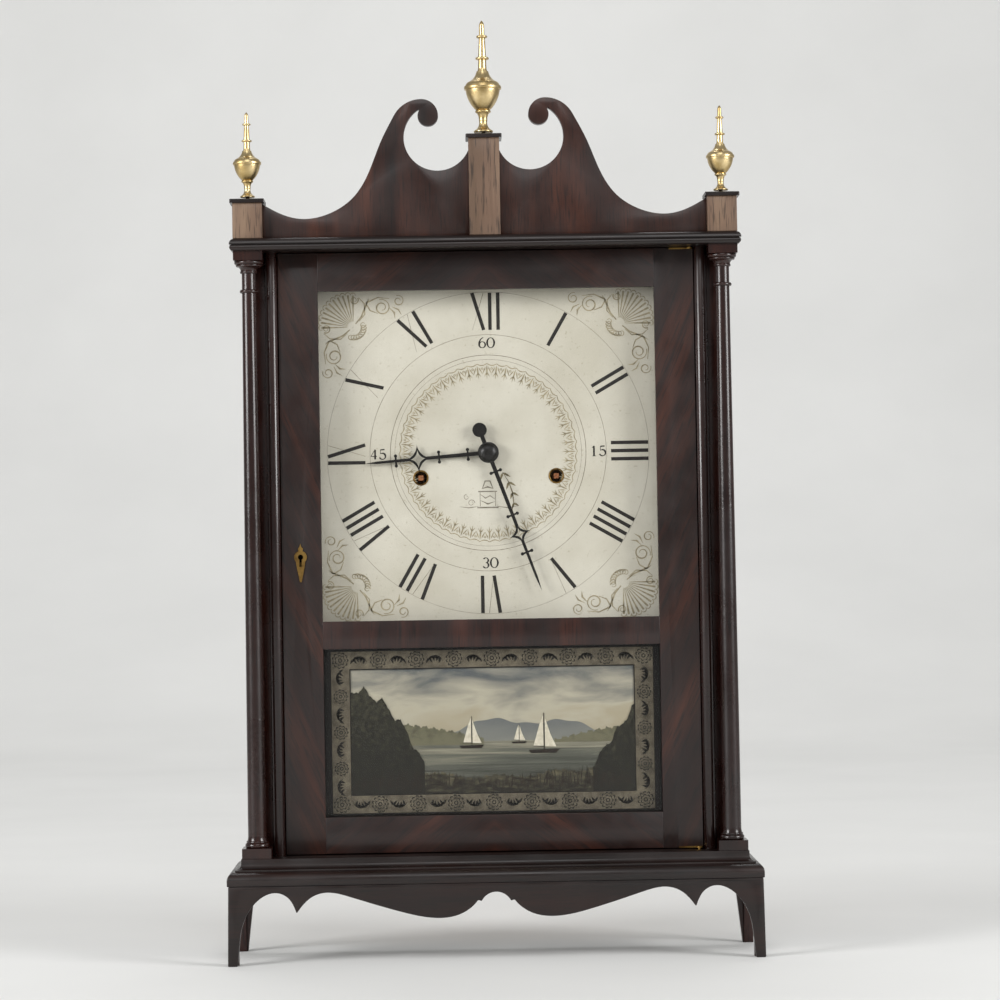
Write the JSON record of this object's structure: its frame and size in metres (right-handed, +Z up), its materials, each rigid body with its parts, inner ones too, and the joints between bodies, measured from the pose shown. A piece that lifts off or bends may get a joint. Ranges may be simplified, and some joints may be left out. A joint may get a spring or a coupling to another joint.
{
  "type": "pillar and scroll clock",
  "caption": "Shelf clock in a wooden case with slender columns, scrolled top, urn finials, square painted dial, painted glass tablet and hinged door.",
  "frame": {"origin": "bottom centre of the base, on the shelf, midway between the front nosing and the back", "axes": "+Z up, the dial and door face -Y, +X to the right as seen from the front"},
  "size_m": [0.446, 0.114, 0.7861],
  "materials": {
    "mahogany_dark": "dark mahogany under old varnish",
    "mahogany_veneer": "figured mahogany veneer under old varnish",
    "plinth_wood": "lighter worn mahogany",
    "pine": "bare aged pine",
    "cherry": "bare turned cherry",
    "oak_plate": "bare quartered oak",
    "dial_paint": "painted wood with gilt ornament",
    "brass": "old polished brass",
    "iron": "blackened iron",
    "steel": "drawn steel wire",
    "tin": "dull tinplate",
    "bell_metal": "cast bell metal",
    "clear_glass": "old window glass",
    "tablet_glass": "glass painted from behind",
    "cord": "twisted linen cord"
  },
  "bodies": {
    "case": {"base_nosing": "mahogany_dark", "base_cove": "mahogany_dark", "skirt_front": "mahogany_dark", "side_skirts": "mahogany_dark", "case_side_left": "mahogany_dark", "case_side_right": "mahogany_dark", "backboard": "pine", "front_stile_left": "mahogany_dark", "front_stile_right": "mahogany_dark", "cornice": "mahogany_dark", "column_left": "mahogany_dark", "column_right": "mahogany_dark", "scroll_pediment": "mahogany_veneer", "plinth_centre": "plinth_wood", "side_plinths": "plinth_wood", "plinth_caps": "mahogany_dark", "finial_left": "brass", "finial_centre": "brass", "finial_right": "brass", "finial_studs": "iron", "dial_board": "dial_paint", "dial_rails": "pine", "front_plate": "oak_plate", "back_plate": "oak_plate", "plate_pillars": "cherry", "bell": "bell_metal", "pulley_covers": "tin", "cord_time": "cord", "cord_strike": "cord"},
    "door": {"door_stile_left": "mahogany_veneer", "door_stile_right": "mahogany_veneer", "door_rail_top": "mahogany_veneer", "door_rail_middle": "mahogany_veneer", "door_rail_bottom": "mahogany_veneer", "dial_glass": "clear_glass", "tablet_glass": "tablet_glass", "door_pivots": "brass", "escutcheon": "brass", "lock_case": "brass"},
    "lock_bolt": {"lock_bolt": "iron"},
    "minute_work": {"cannon_pinion": "cherry", "minute_hand": "iron", "hand_nut": "iron"},
    "motion_wheel": {"motion_wheel": "cherry"},
    "hour_work": {"hour_wheel": "cherry", "hour_hand": "iron"},
    "centre_wheel": {"centre_wheel": "cherry"},
    "time_great_wheel": {"time_great_wheel": "cherry"},
    "escape_wheel": {"escape_wheel": "brass"},
    "strike_great_wheel": {"strike_great_wheel": "cherry"},
    "weight_time": {"weight_time": "iron"},
    "weight_strike": {"weight_strike": "iron"},
    "time_drum": {"time_drum": "cherry"},
    "strike_drum": {"strike_drum": "cherry"},
    "pulley_time": {"pulley_time": "cherry"},
    "pulley_strike": {"pulley_strike": "cherry"},
    "pendulum": {"pendulum_rod": "steel", "pendulum_bob": "brass"},
    "verge": {"verge": "steel"},
    "hammer": {"hammer": "steel"}
  },
  "joints": [
    {"name": "door_swing", "type": "hinge", "parent": "case", "child": "door", "pos_m": [0.172, -0.0205, 0.341], "axis": [0, 0, 1], "range_deg": [0, 110]},
    {"name": "lock_bolt_slide", "type": "slide", "parent": "door", "child": "lock_bolt", "axis": [-1, 0, 0], "range_m": [0, 0.005]},
    {"name": "minute_hand_turn", "type": "hinge", "parent": "case", "child": "minute_work", "pos_m": [0, 0, 0.4241], "axis": [0, 1, 0], "continuous": true},
    {"name": "motion_wheel_turn", "type": "hinge", "parent": "case", "child": "motion_wheel", "pos_m": [-0.01273, 0.013, 0.41137], "axis": [0, 1, 0], "continuous": true},
    {"name": "hour_hand_turn", "type": "hinge", "parent": "case", "child": "hour_work", "pos_m": [0, 0, 0.4241], "axis": [0, 1, 0], "continuous": true},
    {"name": "centre_wheel_turn", "type": "hinge", "parent": "case", "child": "centre_wheel", "pos_m": [0, 0.031, 0.4241], "axis": [0, 1, 0], "continuous": true},
    {"name": "time_great_wheel_turn", "type": "hinge", "parent": "case", "child": "time_great_wheel", "pos_m": [0.0575, 0.026, 0.4036], "axis": [0, 1, 0], "continuous": true},
    {"name": "escape_wheel_turn", "type": "hinge", "parent": "case", "child": "escape_wheel", "pos_m": [0.024, 0.037, 0.46451], "axis": [0, 1, 0], "continuous": true},
    {"name": "strike_great_wheel_turn", "type": "hinge", "parent": "case", "child": "strike_great_wheel", "pos_m": [-0.0575, 0.026, 0.4036], "axis": [0, 1, 0], "continuous": true},
    {"name": "weight_time_slide", "type": "slide", "parent": "case", "child": "weight_time", "axis": [0, 0, 1], "range_m": [0, 0.3], "deforming": ["cord_time"]},
    {"name": "weight_strike_slide", "type": "slide", "parent": "case", "child": "weight_strike", "axis": [0, 0, 1], "range_m": [0, 0.3], "deforming": ["cord_strike"]},
    {"name": "time_drum_turn", "type": "hinge", "parent": "case", "child": "time_drum", "pos_m": [0.0575, 0.03, 0.4036], "axis": [0, 1, 0], "range_deg": [0, 1246.6]},
    {"name": "strike_drum_turn", "type": "hinge", "parent": "case", "child": "strike_drum", "pos_m": [-0.0575, 0.03, 0.4036], "axis": [0, 1, 0], "range_deg": [-1246.6, 0]},
    {"name": "pulley_time_turn", "type": "hinge", "parent": "case", "child": "pulley_time", "pos_m": [0.137, 0.033, 0.6029], "axis": [0, 1, 0], "range_deg": [-1293.4, 0]},
    {"name": "pulley_strike_turn", "type": "hinge", "parent": "case", "child": "pulley_strike", "pos_m": [-0.137, 0.033, 0.6029], "axis": [0, 1, 0], "range_deg": [0, 1293.4]},
    {"name": "pendulum_swing", "type": "hinge", "parent": "case", "child": "pendulum", "pos_m": [0.024, 0.0145, 0.49451], "axis": [0, 1, 0], "range_deg": [-3, 3]},
    {"name": "verge_rock", "type": "hinge", "parent": "case", "child": "verge", "pos_m": [0.024, 0.03, 0.49451], "axis": [0, 1, 0], "range_deg": [-3.2, 3.2]},
    {"name": "hammer_swing", "type": "hinge", "parent": "case", "child": "hammer", "pos_m": [-0.062, 0.036, 0.4906], "axis": [0, -1, 0], "range_deg": [0, 18]}
  ],
  "couplings": [
    {"joint": "motion_wheel_turn", "follows": "minute_hand_turn", "ratio": -0.33333},
    {"joint": "hour_hand_turn", "follows": "minute_hand_turn", "ratio": 0.083333},
    {"joint": "time_great_wheel_turn", "follows": "centre_wheel_turn", "ratio": -0.12121},
    {"joint": "escape_wheel_turn", "follows": "centre_wheel_turn", "ratio": -8},
    {"joint": "time_drum_turn", "follows": "weight_time_slide", "rad_per_m": 72.464},
    {"joint": "pulley_time_turn", "follows": "weight_time_slide", "rad_per_m": -75.188},
    {"joint": "strike_drum_turn", "follows": "weight_strike_slide", "rad_per_m": -72.464},
    {"joint": "pulley_strike_turn", "follows": "weight_strike_slide", "rad_per_m": 75.188},
    {"joint": "verge_rock", "follows": "pendulum_swing", "ratio": 1}
  ]
}
